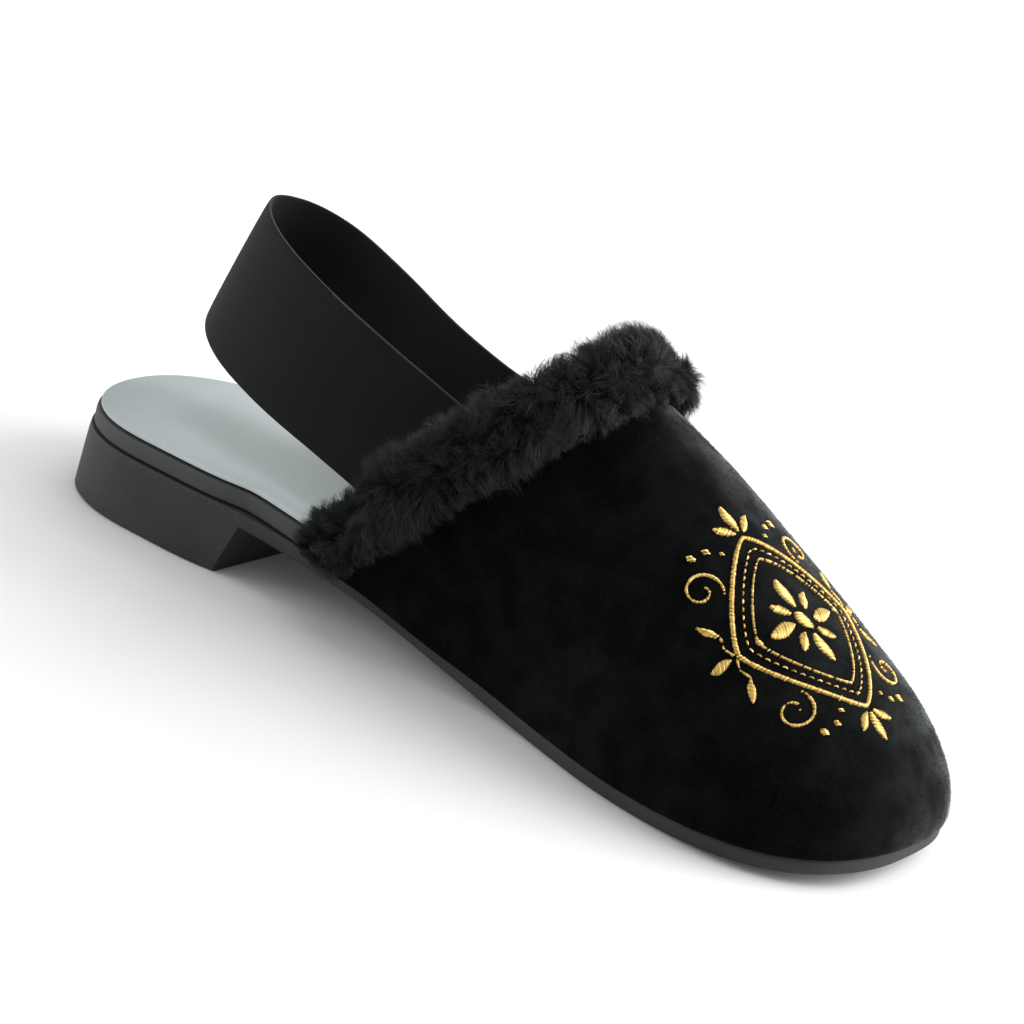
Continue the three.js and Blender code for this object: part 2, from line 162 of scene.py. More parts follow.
def remap(tree, value, low, high, to_low=0.0, to_high=1.0):
    """Stretches the part of a mask between low and high."""
    node = add_node(tree, "ShaderNodeMapRange")
    numbers = {"From Min": low, "From Max": high, "To Min": to_low, "To Max": to_high}
    for socket, number in numbers.items():
        node.inputs[socket].default_value = number
    tree.links.new(value, node.inputs["Value"])
    return node.outputs["Result"]


def math_of(tree, operation, first, second):
    """One step of arithmetic on two masks, or on a mask and a number."""
    node = add_node(tree, "ShaderNodeMath", operation=operation)
    tree.links.new(first, node.inputs[0])
    if isinstance(second, (int, float)):
        node.inputs[1].default_value = second
    else:
        tree.links.new(second, node.inputs[1])
    return node.outputs[0]


def mix_colours(tree, mask, dark, light):
    """A colour between two, each a triple or another node's colour."""
    node = add_node(tree, "ShaderNodeMix", data_type="RGBA")
    for socket, colour in (("A", dark), ("B", light)):
        if isinstance(colour, tuple):
            node.inputs[socket].default_value = (*colour, 1.0)
        else:
            tree.links.new(colour, node.inputs[socket])
    tree.links.new(mask, node.inputs["Factor"])
    return node.outputs["Result"]


def paint(tree, shader, mask, dark, light):
    """Gives a shader a base colour between two."""
    tree.links.new(mix_colours(tree, mask, dark, light), shader.inputs["Base Color"])


def bump(tree, shader, height, strength, depth):
    """Raises the surface by a mask, up to a depth in metres."""
    node = add_node(tree, "ShaderNodeBump")
    node.inputs["Strength"].default_value = strength
    node.inputs["Distance"].default_value = depth
    tree.links.new(height, node.inputs["Height"])
    tree.links.new(node.outputs["Normal"], shader.inputs["Normal"])


def object_place(tree):
    """Places on the object itself, in metres."""
    return add_node(tree, "ShaderNodeTexCoord").outputs["Object"]


# %% Shared effects: pebble grain and cloth nap
def new_effect(name, inputs, outputs):
    """An empty node group with number inputs and outputs."""
    group = bpy.data.node_groups.new(name, "ShaderNodeTree")
    for socket, default in inputs.items():
        made = group.interface.new_socket(socket, in_out="INPUT", socket_type="NodeSocketFloat")
        made.default_value = default
    for socket in outputs:
        group.interface.new_socket(socket, in_out="OUTPUT", socket_type="NodeSocketFloat")
    return group, group.nodes.new("NodeGroupInput"), group.nodes.new("NodeGroupOutput")


pebble, takes, gives = new_effect("pebble_grain", {"Scale": 900.0}, ("Height", "Mottle"))
cells = add_node(pebble, "ShaderNodeTexVoronoi")
pebble.links.new(object_place(pebble), cells.inputs["Vector"])
pebble.links.new(takes.outputs["Scale"], cells.inputs["Scale"])
pebble.links.new(cells.outputs["Distance"], gives.inputs["Height"])
pebble.links.new(noise(pebble, object_place(pebble), 35.0, 5.0), gives.inputs["Mottle"])

nap, takes, gives = new_effect("cloth_nap", {"Fibres": 2400.0, "Patches": 45.0}, ("Height", "Brushed"))
for socket, output, detail in (("Fibres", "Height", 3.0), ("Patches", "Brushed", 6.0)):
    made = add_node(nap, "ShaderNodeTexNoise")
    made.inputs["Detail"].default_value = detail
    nap.links.new(object_place(nap), made.inputs["Vector"])
    nap.links.new(takes.outputs[socket], made.inputs["Scale"])
    nap.links.new(made.outputs["Fac"], gives.inputs[output])


def use_effect(tree, group, **values):
    """The outputs of a node group whose inputs are set by name."""
    node = add_node(tree, "ShaderNodeGroup", node_tree=group)
    for socket, value in values.items():
        node.inputs[socket].default_value = value
    return node.outputs


print("effects:", pebble.name, nap.name)

# %% [markdown]
# The room and the floor come first. The room lights the shoe evenly, and looks pure white where the camera
# sees it. The floor's glow grows with the distance from the shoe.

# %% White room and white paper
SKY_STRENGTH = 0.42
sky = bpy.data.worlds.new("white_room")
scene.world = sky
sky.use_nodes = True
room = sky.node_tree
room.nodes["Background"].inputs["Color"].default_value = (1.0, 1.0, 1.0, 1.0)
seen = add_node(room, "ShaderNodeLightPath").outputs["Is Camera Ray"]
room.links.new(remap(room, seen, 0, 1, SKY_STRENGTH, 1.0), room.nodes["Background"].inputs["Strength"])

NEAR, FAR = 0.10, 0.55  # metres from the middle of the shoe, between which the glow grows
GLOW_NEAR, GLOW_FAR = 0.02, 0.65
paper, tree, shader = new_finish("white_paper", Roughness=0.9, Specular_IOR_Level=0.1)
shader.inputs["Emission Color"].default_value = (1.0, 1.0, 1.0, 1.0)
paint(tree, shader, noise(tree, object_place(tree), 3.0), (0.61, 0.61, 0.61), (0.63, 0.63, 0.63))
distance = add_node(tree, "ShaderNodeVectorMath", operation="LENGTH")
tree.links.new(object_place(tree), distance.inputs[0])
glow = remap(tree, distance.outputs["Value"], NEAR, FAR, GLOW_NEAR, GLOW_FAR)
tree.links.new(glow, shader.inputs["Emission Strength"])
floor.data.materials.append(paper)

# %% [markdown]
# ## Refining a solid
# The solids are made of flat facets. A smooth piece starts as a copy of one: its loose triangles are
# merged, joined into quads, creased where the form has a real edge, and rounded by subdivision.
# The copy then stands for the solid.

# %% Helpers for shapes
MERGE_WITHIN = 0.01 * MM
FOLDED, SKEWED = math.radians(40), math.radians(120)  # past these, two triangles don't make a quad
SMOOTH_BELOW = math.radians(40)  # sharper edges are shaded as edges


def activate(piece):
    """Makes a piece the one that operators work on."""
    bpy.ops.object.select_all(action="DESELECT")
    piece.select_set(True)
    bpy.context.view_layer.objects.active = piece


def copy_of(node, name):
    """A merged copy of a solid, with quads in place of triangles."""
    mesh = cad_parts[node].data.copy()
    mesh.materials.clear()
    piece = bpy.data.objects.new(name, mesh)
    scene.collection.objects.link(piece)
    activate(piece)
    bpy.ops.mesh.customdata_custom_splitnormals_clear()
    bpy.ops.object.mode_set(mode="EDIT")
    bpy.ops.mesh.select_all(action="SELECT")
    bpy.ops.mesh.remove_doubles(threshold=MERGE_WITHIN)
    bpy.ops.mesh.tris_convert_to_quads(face_threshold=FOLDED, shape_threshold=SKEWED)
    bpy.ops.object.mode_set(mode="OBJECT")
    return piece


def round_off(piece, sharp_deg, crease, levels):
    """Creases the edges that are sharper than an angle, then subdivides the piece."""
    activate(piece)
    bpy.ops.object.mode_set(mode="EDIT")
    bpy.ops.mesh.select_mode(type="EDGE")
    bpy.ops.mesh.select_all(action="DESELECT")
    bpy.ops.mesh.edges_select_sharp(sharpness=math.radians(sharp_deg))
    bpy.ops.transform.edge_crease(value=crease)
    bpy.ops.object.mode_set(mode="OBJECT")
    smoother = piece.modifiers.new("round_off", "SUBSURF")
    smoother.levels = smoother.render_levels = levels
    bpy.ops.object.modifier_apply(modifier=smoother.name)
    bpy.ops.object.shade_smooth_by_angle(angle=SMOOTH_BELOW)


def joined_mesh(name, points, faces):
    """A new object from an array of vertices and a list of faces."""
    mesh = bpy.data.meshes.new(name)
    mesh.from_pydata(points.tolist(), [], faces)
    piece = bpy.data.objects.new(name, mesh)
    scene.collection.objects.link(piece)
    return piece


def settle(piece, finishes, node=None):
    """Gives a piece its finishes, hangs it on the root, and hides the solid that it stands for."""
    for finish in finishes:
        piece.data.materials.append(finish)
    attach(piece, "root")
    if node:
        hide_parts(node)
    piece.data.calc_loop_triangles()
    print(piece.name, len(piece.data.loop_triangles), "triangles")


# %% [markdown]
# ## The sole
# The sole is one rubber moulding with a satin skin. Its edge is a little uneven in tone, and the mould
# leaves a fine grain.

# %% Rubber sole
rubber, tree, shader = new_finish("sole_rubber", Roughness=0.6, Specular_IOR_Level=0.2)
grain = use_effect(tree, pebble, Scale=1400.0)
mottled = remap(tree, grain["Mottle"], 0.35, 0.65)
paint(tree, shader, mottled, (0.024, 0.0258, 0.0258), (0.035, 0.0373, 0.0367))
bump(tree, shader, grain["Height"], strength=0.35, depth=0.25 * MM)

sole = copy_of("outsole", "rubber_sole")
round_off(sole, sharp_deg=30, crease=1.0, levels=2)

# %% [markdown]
# The tread is a row of fine ribs under the heel and under the forepart, with a plain border. It is cut, not
# added, so that the ribs end where the sole did: a bar is made for each groove, and all the bars together
# are taken away from the sole.

# %% Cut the tread
TREAD = ((8, 54), (140, 230))  # where grooves lie along the heel and along the forepart
TREAD_STEP = 4.5  # from one groove to the next
GROOVE_WIDE, GROOVE_DEEP = 1.6, 0.8
BORDER = 4.5  # left plain at both sides
REACH = 2.5  # a groove's ends are read from the sole's vertices so far ahead and behind
LOOKS_DOWN = -0.9  # the underside's faces point lower than this
BAR = np.array([(x, y, z) for x in (-1, 1) for y in (-1, 1) for z in (-1, 1)])  # a bar's corners
BAR_FACES = np.array([(0, 1, 3, 2), (4, 6, 7, 5), (0, 4, 5, 1), (2, 3, 7, 6), (0, 2, 6, 4), (1, 5, 7, 3)])

under = {v for p in sole.data.polygons if p.normal.z < LOOKS_DOWN for v in p.vertices}
under = np.array([sole.data.vertices[v].co for v in sorted(under)])
bars = []
for first, last in TREAD:
    for along in np.arange(first, last, TREAD_STEP):
        x = shoe_point(along, 0, 0).x
        row = under[np.abs(under[:, 0] - x) < REACH * MM]
        low, high = row[:, 1].min(), row[:, 1].max()
        middle = np.array([x, (low + high) / 2, row[:, 2].mean()])
        half = np.array([GROOVE_WIDE * MM, high - low - 2 * BORDER * MM, 2 * GROOVE_DEEP * MM]) / 2
        bars.append(middle + BAR * half)
faces = (np.arange(len(bars))[:, None, None] * len(BAR) + BAR_FACES).reshape(-1, 4)
groove_bars = joined_mesh("groove_bars", np.concatenate(bars), faces.tolist())
activate(sole)
tread = sole.modifiers.new("tread", "BOOLEAN")
tread.operation = "DIFFERENCE"
tread.solver = "EXACT"
tread.object = groove_bars
bpy.ops.object.modifier_apply(modifier=tread.name)
bpy.ops.object.shade_smooth_by_angle(angle=SMOOTH_BELOW)
bpy.data.objects.remove(groove_bars)
print(len(bars), "grooves")
settle(sole, [rubber], "outsole")

# %% [markdown]
# ## Footbed and sock
# Under the foot lies a foam board with a dark grey wrapped edge, and on it a pale grey sock of smooth lining
# leather. Both are thin sheets with soft edges. The sock has a very fine grain and faint clouding, and is
# left plain. Its colour also holds painted shade: it is a little darker towards the heel, where the lamps
# light it more.

# %% Footbed and sock
HEEL_PAINTED_SHADE = (12, 45)  # painted shade along the sock: darkest up to the first, none from the second
CLOUDS = 0.25  # the share of the sock's tone that its clouds give, and the painted shade towards the heel gives the rest
edge_wrap, tree, shader = new_finish("grey_edge_wrap", Roughness=0.65, Specular_IOR_Level=0.25)
grain = use_effect(tree, pebble, Scale=1800.0)
paint(tree, shader, grain["Mottle"], (0.036, 0.039, 0.039), (0.056, 0.060, 0.060))
bump(tree, shader, grain["Height"], strength=0.3, depth=0.15 * MM)

footbed = copy_of("footbed", "foam_footbed")
round_off(footbed, sharp_deg=35, crease=0.6, levels=2)
settle(footbed, [edge_wrap], "footbed")

sock_leather, tree, shader = new_finish("grey_sock_leather", Roughness=0.5, Specular_IOR_Level=0.4)
grain = use_effect(tree, pebble, Scale=2200.0)
lengthwise = add_node(tree, "ShaderNodeSeparateXYZ")
tree.links.new(object_place(tree), lengthwise.inputs[0])
shade_end, unshaded_start = (shoe_point(along, 0, 0).x for along in HEEL_PAINTED_SHADE)
# painted shade: the sock darkens towards the heel, which evens out the stronger lamp light there
unshaded = remap(tree, lengthwise.outputs["X"], shade_end, unshaded_start, 0.0, 1 - CLOUDS)
clouds_and_painted_shade = math_of(tree, "ADD", unshaded, remap(tree, grain["Mottle"], 0.3, 0.7, 0.0, CLOUDS))
paint(tree, shader, clouds_and_painted_shade, (0.268, 0.303, 0.308), (0.432, 0.483, 0.484))
bump(tree, shader, grain["Height"], strength=0.2, depth=0.08 * MM)

sock = copy_of("insole", "grey_sock")
round_off(sock, sharp_deg=35, crease=0.7, levels=2)
settle(sock, [sock_leather], "insole")

# %% [markdown]
# ## The velvet upper
# The vamp is one lasted wall: velvet outside, lining inside. Velvet is almost black seen straight on, and
# shows a soft grey sheen where its pile is seen edgewise, which the Sheen of the Principled shader gives.
# Brushed patches vary the sheen and the base colour, fine noise stands for the pile, and a few specks of
# lint lie on it.

# %% Velvet and lining finishes
LINT_CELLS = 180.0  # a metre
LINT_FREE = 0.90  # the share of cells that hold no speck
SPECK_EDGE = (0.05, 0.035)  # where a speck starts to show and where it is full, in cells from its middle
SHEEN_LOW, SHEEN_HIGH = 0.24, 0.74  # from one brushed patch to another
velvet, tree, shader = new_finish("black_velvet", Roughness=0.95, Specular_IOR_Level=0.02)
shader.inputs["Sheen Roughness"].default_value = 0.31
shader.inputs["Sheen Tint"].default_value = (0.88, 0.92, 0.97, 1.0)
cloth = use_effect(tree, nap, Fibres=2200.0, Patches=130.0)
sheen = remap(tree, cloth["Brushed"], 0.36, 0.66, SHEEN_LOW, SHEEN_HIGH)
tree.links.new(sheen, shader.inputs["Sheen Weight"])
dark_patch = mix_colours(tree, remap(tree, cloth["Brushed"], 0.40, 0.66), (0.0014, 0.0016, 0.0016),
                         (0.0028, 0.0031, 0.0031))
napped = mix_colours(tree, remap(tree, cloth["Height"], 0.55, 0.75), dark_patch, (0.0055, 0.0059, 0.0060))
lint = add_node(tree, "ShaderNodeTexVoronoi")
lint.inputs["Scale"].default_value = LINT_CELLS
tree.links.new(object_place(tree), lint.inputs["Vector"])
speck = remap(tree, lint.outputs["Distance"], *SPECK_EDGE)
chosen = add_node(tree, "ShaderNodeSeparateColor")
tree.links.new(lint.outputs["Color"], chosen.inputs[0])
few = remap(tree, chosen.outputs[0], LINT_FREE, LINT_FREE + 0.01)
paint(tree, shader, math_of(tree, "MULTIPLY", speck, few), napped, (0.05, 0.05, 0.048))
bump(tree, shader, cloth["Height"], strength=0.3, depth=0.2 * MM)

lining, tree, shader = new_finish("black_lining", Roughness=0.9, Specular_IOR_Level=0.1)
cloth = use_effect(tree, nap, Fibres=1500.0, Patches=90.0)
paint(tree, shader, cloth["Brushed"], (0.006, 0.006, 0.007), (0.014, 0.014, 0.015))
bump(tree, shader, cloth["Height"], strength=0.4, depth=0.2 * MM)

# %% [markdown]
# The wall's two faces are told apart by where they look: a lining face points at the middle of the shoe.
# A new upper is smooth, but the cloth dips a little where the ball bends. Each crease is a row of a table:
# a soft trough with a place, a length and a depth, and a lower ridge in front of it.

# %% Shape the upper
CORE_HEIGHT = 16.0  # the middle of the foot above the floor
TOE_CORE = 215.0  # from here the toe's wall looks forward more and more
TOE_REACH = 25.0
CREASES = (
    {"along": 150, "height": 30, "reach": 13, "width": 6.0, "depth": 0.35, "side": -1},
    {"along": 166, "height": 24, "reach": 14, "width": 5.5, "depth": 0.30, "side": -1},
    {"along": 156, "height": 32, "reach": 14, "width": 6.0, "depth": 0.35, "side": 1},
    {"along": 174, "height": 24, "reach": 14, "width": 5.5, "depth": 0.30, "side": 1},
)
CREASE_TILT = 0.5  # creases lean forward as they go down
RIDGE_SHARE = 0.5  # a ridge's height as a share of its trough's depth
LOOKS_IN = -0.15  # a lining face points out of the core by less than this


def from_core(places):
    """Unit vectors that point out of the shoe's long core."""
    out = places - np.array(shoe_point(0, 0, CORE_HEIGHT))
    toe = np.clip((places[:, 0] - shoe_point(TOE_CORE, 0, 0).x) / (TOE_REACH * MM), 0, 1)
    out[:, 0] = toe * TOE_REACH * MM
    return out / np.linalg.norm(out, axis=1, keepdims=True)


upper = copy_of("upper", "velvet_upper")
round_off(upper, sharp_deg=50, crease=0.85, levels=2)
places = np.array([v.co for v in upper.data.vertices])
push = np.zeros(len(places))
for crease in CREASES:
    ahead = (places[:, 0] - shoe_point(crease["along"], 0, 0).x) / MM
    above = places[:, 2] / MM - crease["height"]
    across = (ahead + CREASE_TILT * above) / crease["width"]
    fade = np.exp(-(((above - CREASE_TILT * ahead) / crease["reach"]) ** 2))
    fold = RIDGE_SHARE * np.exp(-((across - 2) ** 2)) - np.exp(-(across**2))
    push += np.where(places[:, 1] * crease["side"] > 0, crease["depth"] * fade * fold, 0)
places += from_core(places) * (push * MM)[:, None]
upper.data.vertices.foreach_set("co", places.ravel())

middles = np.array([p.center for p in upper.data.polygons])
normals = np.array([p.normal for p in upper.data.polygons])
inside = (normals * from_core(middles)).sum(axis=1) < LOOKS_IN
upper.data.polygons.foreach_set("material_index", inside.astype(int))
settle(upper, [velvet, lining], "upper")

# %% [markdown]
# Velvet's pile shows where it stands against the light, so short fibres are planted on the outer face.
# Each is one thin triangle that leans towards the toe and down, and strays a little from that.

# %% Plant the velvet's pile
FIBRES = 90000
FIBRE_LENGTH = 0.55 * MM
FIBRE_WIDTH = 0.06 * MM
FIBRE_SHARES = (0.5, 1.0)  # the shortest and the longest, as shares of the length
LEAN = np.array([0.35, 0.0, -0.25])  # the way the pile is brushed
SPREAD = 0.3  # and how far fibres stray from it


def unit(v):
    """Vectors of length 1."""
    return v / np.maximum(np.linalg.norm(v, axis=-1, keepdims=True), 1e-9)


def scatter_on(mesh, corners, count):
    """Places spread evenly over triangles of a mesh, and its normals there."""
    places = np.array([v.co for v in mesh.vertices])[corners]
    normals = np.array([v.normal for v in mesh.vertices])[corners]
    sides = places[:, 1:] - places[:, :1]
    areas = np.linalg.norm(np.cross(sides[:, 0], sides[:, 1]), axis=1)
    face = rng.choice(len(areas), count, p=areas / areas.sum())
    s = np.sqrt(rng.random(count))
    t = rng.random(count)
    weights = np.stack([1 - s, s * (1 - t), s * t], axis=1)[:, :, None]
    return (places[face] * weights).sum(axis=1), unit((normals[face] * weights).sum(axis=1))


rng = np.random.default_rng(12)
upper.data.calc_loop_triangles()
outside = [t.vertices[:] for t in upper.data.loop_triangles if t.material_index == 0]
roots, rise = scatter_on(upper.data, np.array(outside), FIBRES)
aim = unit(rise + LEAN + rng.normal(0, SPREAD, roots.shape))
side = unit(np.cross(aim, rng.normal(0, 1, roots.shape))) * FIBRE_WIDTH / 2
tips = roots + aim * (FIBRE_LENGTH * rng.uniform(*FIBRE_SHARES, FIBRES))[:, None]
blades = np.stack([roots - side, roots + side, tips], axis=1)
pile = joined_mesh("velvet_pile", blades.reshape(-1, 3), np.arange(3 * FIBRES).reshape(-1, 3).tolist())

pile_finish, tree, shader = new_finish("velvet_pile", Roughness=0.9, Specular_IOR_Level=0.05)
tone = noise(tree, object_place(tree), 75.0, 6.0)
paint(tree, shader, remap(tree, tone, 0.36, 0.66), (0.0060, 0.0065, 0.0067), (0.0165, 0.0172, 0.0178))
settle(pile, [pile_finish])

# %% [markdown]
# ## The elastic strap
# The strap is a matte woven elastic. Its ribs run along it, so they are a wave over the height above the
# strap's own slanting middle line, which a dot product gives from Object coordinates. Its colour is painted
# shading: the outer face darkens from the heel towards the fur, where less light falls. The narrow edge
# faces get a finish of their own, a painted highlight where they catch the light, and so does the inner
# face, painted lighter to lift the shade inside the loop.

# %% Woven elastic
STRAP_SLOPE = 0.254  # the strap's fall for each millimetre forward
STRAP_UP = (STRAP_SLOPE, 0.0, 1.0)  # across the strap, from its lower edge to its upper
RIB_PITCH = 0.8 * MM
LOOP_MIDDLE = shoe_point(80, 0, 50)  # inside the strap's loop
COLOUR_FROM, COLOUR_TO = 105, 30  # along the shoe, between which the strap's painted shading changes
CLOUDING = 0.15  # how far clouds shift that change either way
EDGE_FACE = 0.5  # an edge face points more than this up or down the strap


def elastic_finish(name, near_fur, round_heel):
    """Woven elastic whose colour goes from one near the fur to another round the heel, as painted shading.
    """
    finish, tree, shader = new_finish(name, Roughness=0.85, Specular_IOR_Level=0.1, Sheen_Weight=0.04,
                                      Sheen_Roughness=0.5)
    height = add_node(tree, "ShaderNodeVectorMath", operation="DOT_PRODUCT")
    height.inputs[1].default_value = STRAP_UP
    tree.links.new(object_place(tree), height.inputs[0])
    turns = math_of(tree, "MULTIPLY", height.outputs["Value"], 2 * math.pi / RIB_PITCH)
    ribs = add_node(tree, "ShaderNodeMath", operation="SINE")
    tree.links.new(turns, ribs.inputs[0])
    along = add_node(tree, "ShaderNodeSeparateXYZ")
    tree.links.new(object_place(tree), along.inputs[0])
    fur_end, heel_end = (shoe_point(place, 0, 0).x for place in (COLOUR_FROM, COLOUR_TO))
    # painted shading along the strap, from its end by the fur to the heel
    painted_shading = remap(tree, along.outputs["X"], fur_end, heel_end)
    cloth = use_effect(tree, nap, Fibres=3000.0, Patches=60.0)
    clouds = remap(tree, cloth["Brushed"], 0.3, 0.7, -CLOUDING, CLOUDING)
    paint(tree, shader, math_of(tree, "ADD", painted_shading, clouds), near_fur, round_heel)
    woven = math_of(tree, "ADD", ribs.outputs[0], cloth["Height"])
    bump(tree, shader, woven, strength=0.18, depth=0.06 * MM)
    return finish


# painted shade: the outer face darkens towards the fur, where less light falls
elastic = elastic_finish("black_elastic", (0.0020, 0.0025, 0.0023), (0.0080, 0.0093, 0.0088))
# painted highlight: the narrow edge faces are lighter, where they catch the light
edge_highlight = elastic_finish("elastic_edge", (0.018, 0.019, 0.019), (0.030, 0.031, 0.031))
# painted light: the inner face is lighter, to lift the shade inside the loop
inner_face = elastic_finish("elastic_inside", (0.0120, 0.0138, 0.0130), (0.0086, 0.0098, 0.0093))
strap = copy_of("heel_strap", "elastic_strap")
round_off(strap, sharp_deg=35, crease=0.6, levels=2)
normals = np.array([p.normal for p in strap.data.polygons])
inwards = np.array(LOOP_MIDDLE) - np.array([p.center for p in strap.data.polygons])
edgeways = np.abs(normals @ np.array(STRAP_UP)) > EDGE_FACE
inside = (normals * inwards)[:, :2].sum(axis=1) > 0
strap.data.polygons.foreach_set("material_index", np.where(edgeways, 1, np.where(inside, 2, 0)))
settle(strap, [elastic, edge_highlight, inner_face], "heel_strap")

# %% [markdown]
# ## The fur's ground
# The fur is a strip folded over the topline. Under the hairs lies a dark, soft roll: the solid itself, with
# its tufts eased and drawn in towards the velvet, so that the hairs end about where the solid does. The
# hairs have a parting that wanders along the topline, and the roll dips under it. What already lies close
# to the velvet is left as it is.

# %% Ease the fur roll
undercoat, tree, shader = new_finish("fur_undercoat", Roughness=0.95, Specular_IOR_Level=0.03)
cloth = use_effect(tree, nap, Fibres=1200.0, Patches=160.0)
paint(tree, shader, cloth["Brushed"], (0.003, 0.003, 0.003), (0.008, 0.0077, 0.0075))
bump(tree, shader, cloth["Height"], strength=0.8, depth=0.6 * MM)

SEATED = 1.6 * MM  # what is closer to the velvet than this stays
EASING = 8  # rounds of smoothing
DRAW_IN = 0.28  # share of its distance to the velvet that the roll loses
TOPLINE_SLOPE = 1.1  # the topline's plane rises this steeply
TOPLINE_FOOT = shoe_point(72.5, 0, 0)  # and meets the floor here
FORWARD = Vector((TOPLINE_SLOPE, 0.0, -1.0)).normalized()
PARTING = -0.3 * MM  # from the topline's plane, forward
DIP = 0.20  # the roll is lower under the parting, by this share of its distance to the velvet
DIP_WIDTH = 2.4 * MM
WANDER = (  # the parting's waves: millimetres to either side, their number in a full turn, and phase
    {"reach": 2.2, "waves": 9, "phase": 0.0},
    {"reach": 1.3, "waves": 16, "phase": 1.0},
)


def ahead_of_parting(places):
    """How far places lie ahead of the parting, which wanders in waves along the cuff."""
    out = places - np.array(shoe_point(0, 0, CORE_HEIGHT))
    turn = np.arctan2(out[:, 2], out[:, 1])
    wander = sum(row["reach"] * MM * np.sin(row["waves"] * turn + row["phase"]) for row in WANDER)
    return (places - np.array(TOPLINE_FOOT)) @ np.array(FORWARD) - PARTING - wander


def surface_of(piece):
    """A search tree over a piece's faces."""
    mesh = piece.data
    return BVHTree.FromPolygons([v.co for v in mesh.vertices], [p.vertices[:] for p in mesh.polygons])


velvet_surface = surface_of(upper)
fur_roll = copy_of("fur_cuff", "fur_roll")
bpy.ops.object.mode_set(mode="EDIT")
bpy.ops.mesh.select_mode(type="VERT")
bpy.ops.mesh.select_all(action="DESELECT")
bpy.ops.object.mode_set(mode="OBJECT")
for vertex in fur_roll.data.vertices:
    vertex.select = velvet_surface.find_nearest(vertex.co)[3] > SEATED
bpy.ops.object.mode_set(mode="EDIT")
bpy.ops.mesh.vertices_smooth(factor=0.5, repeat=EASING)
bpy.ops.object.mode_set(mode="OBJECT")
for vertex in fur_roll.data.vertices:
    seat, _, _, distance = velvet_surface.find_nearest(vertex.co)
    if distance > SEATED:
        aside = ahead_of_parting(np.array([vertex.co]))[0] / DIP_WIDTH
        draw_in = DRAW_IN + DIP * math.exp(-(aside**2))
        vertex.co += (seat - vertex.co) * draw_in * (1 - SEATED / distance)
bpy.ops.object.shade_smooth()
settle(fur_roll, [undercoat], "fur_cuff")

# %% [markdown]
# ## The hairs
# Each hair is a thin tapered ribbon that springs from the roll and bends over. Tens of thousands are
# needed, so they are worked out together as arrays and joined into a few meshes. Hairs share a lock: their
# tips lean towards the tip of the nearest guide. Locks share a clump, which goes astray as a whole. Ahead
# of the parting hairs sweep over the velvet, and behind it they stand up and back.

# %% Where hairs grow
HAIRS = 84000
LOCKS = 2400
CLUMPS = 600
GROWS_FROM = 1.9 * MM  # hairs grow only where the roll stands this far off the velvet

roll = fur_roll.data
roll.calc_loop_triangles()
ground = [t.vertices[:] for t in roll.loop_triangles
          if velvet_surface.find_nearest(t.center)[3] > GROWS_FROM]
ground = np.array(ground)
print("hairs grow on", len(ground), "of", len(roll.loop_triangles), "triangles of the roll")

# %% How hairs lie
PARTING_WIDTH = 6.5 * MM  # on either side, over which hairs turn
HAIR_LENGTH = 7.0 * MM
PARTING_SHARES = (0.95, 0.50, 0.92)  # of that length: well behind the parting, at it and well ahead
AHEAD, BEHIND = 0.5, 0.8  # how strongly hairs are brushed away from the parting
LOW_FUR = 7.0 * MM  # where the roll is lower than this, hairs are shorter
LOW_SHARE = 0.3  # but not shorter than this share
LOCK_SHARES = (0.6, 1.3)  # the shortest and the longest lock, as shares of the length
STAND, FOLLOW = 0.75, 0.60  # a hair starts off the skin and along its flow
BEND, SINK, SAG = 0.45, 0.20, 0.10  # then bends along its flow, back to the skin and down
CLUMP_ASTRAY, LOCK_ASTRAY, HAIR_ASTRAY = 0.26, 0.30, 0.30  # how far each goes its own way
CLUMP_TONE = 0.5  # the share of a lock's tone that its clump gives


def from_parting(places):
    """How far hairs grow from the parting, from -1 well behind it to 1 well ahead."""
    return np.clip(ahead_of_parting(places) / PARTING_WIDTH, -1, 1)


def grow(places, normals, lengths, astray):
    """Start and bend of each hair: up from the skin, then over the way that it is brushed or goes astray."""
    away = from_parting(places)[:, None]
    flow = np.array(FORWARD) * np.where(away > 0, AHEAD, BEHIND) * away + astray
    flow -= normals * (flow * normals).sum(axis=1, keepdims=True)
    start = unit(normals * STAND + flow * FOLLOW)
    bend = flow * BEND - normals * SINK + np.array([0, 0, -SAG])
    return start * lengths[:, None], bend * lengths[:, None]


def nearest(guides, places):
    """For each place, the number of the guide that is closest to it."""
    finder = KDTree(len(guides))
    for number, spot in enumerate(guides):
        finder.insert(spot, number)
    finder.balance()
    return np.array([finder.find(place)[1] for place in places])


clump_place, _ = scatter_on(roll, ground, CLUMPS)
clump_astray = rng.normal(0, CLUMP_ASTRAY, (CLUMPS, 3))
clump_tone = rng.random(CLUMPS)
lock_place, lock_normal = scatter_on(roll, ground, LOCKS)
clump = nearest(clump_place, lock_place)
lock_low = np.array([velvet_surface.find_nearest(Vector(p))[3] for p in lock_place])
lock_length = HAIR_LENGTH * rng.uniform(*LOCK_SHARES, LOCKS) * np.clip(lock_low / LOW_FUR, LOW_SHARE, 1)
lock_length *= np.interp(from_parting(lock_place), (-1, 0, 1), PARTING_SHARES)
lock_astray = clump_astray[clump] + rng.normal(0, LOCK_ASTRAY, (LOCKS, 3))
lock_start, lock_bend = grow(lock_place, lock_normal, lock_length, lock_astray)
lock_tip = lock_place + lock_start + lock_bend
lock_tone = (1 - CLUMP_TONE) * rng.random(LOCKS) + CLUMP_TONE * clump_tone[clump]
print(LOCKS, "locks, tips to", [round(float(c) / MM, 1) for c in lock_tip.max(axis=0)], "mm")

